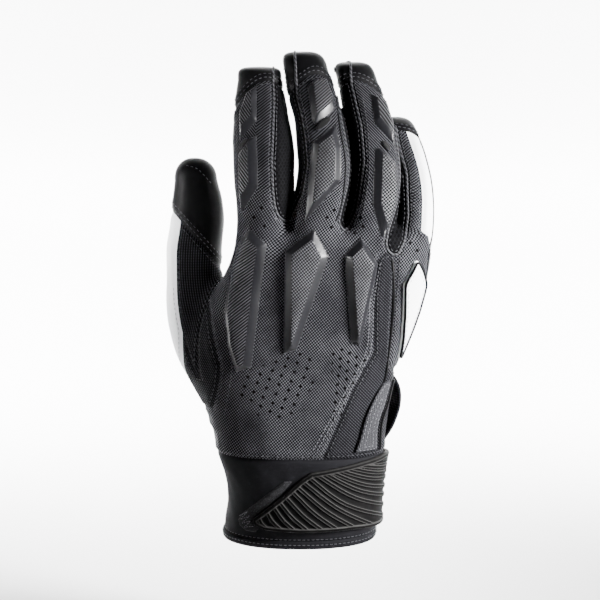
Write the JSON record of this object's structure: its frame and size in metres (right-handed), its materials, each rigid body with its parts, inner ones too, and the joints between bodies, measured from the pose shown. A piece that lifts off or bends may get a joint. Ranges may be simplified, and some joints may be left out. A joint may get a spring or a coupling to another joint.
{
  "type": "padded football lineman glove",
  "caption": "Right-hand lineman's glove with padded knuckles and fingers, leather tips, white grip palm, neoprene cuff and a ribbed wrist strap, standing open as worn",
  "frame": {"origin": "The middle of the wrist opening, level with the cuff's lower edge. The glove stands upright above it.", "axes": "+Z runs from the wrist to the fingertips, -Y is the back of the hand with the pads, +Y is the palm, -X is the thumb's side and +X is the little finger's."},
  "size_m": [0.1337, 0.0728, 0.243],
  "materials": {
    "leather": "semi-gloss black synthetic leather",
    "mesh": "matt black knit and perforated mesh",
    "textile": "charcoal coated textile with a fine dot weave",
    "grip_leather": "white grip leather, low sheen",
    "pad": "moulded foam pads under coated textile, satin edges",
    "webbing": "grey double-stitched webbing",
    "neoprene": "matt black neoprene",
    "strap_rubber": "moulded ribbed dark rubber",
    "hook": "fuzzy black hook tape"
  },
  "bodies": {
    "root": {"tip_cap_thumb": "leather", "tip_cap_index": "leather", "tip_cap_middle": "leather", "tip_cap_ring": "leather", "tip_cap_little": "leather", "gusset_index_middle": "mesh", "gusset_middle_ring": "mesh", "gusset_ring_little": "mesh", "thumb_back": "mesh", "web_panel": "mesh", "stretch_panel": "mesh", "pull_loop": "mesh", "back_panel": "textile", "palm_panel": "grip_leather", "side_pad": "grip_leather", "hand_pad_index": "pad", "hand_pad_middle": "pad", "hand_pad_ring": "pad", "index_pad_near": "pad", "index_pad_far": "pad", "middle_pad_near": "pad", "middle_pad_far": "pad", "ring_pad_near": "pad", "ring_pad_far": "pad", "pull_tab": "webbing", "cuff": "neoprene", "cuff_hem": "neoprene", "wrist_strap": "strap_rubber", "strap_hook": "hook"}
  },
  "joints": []
}
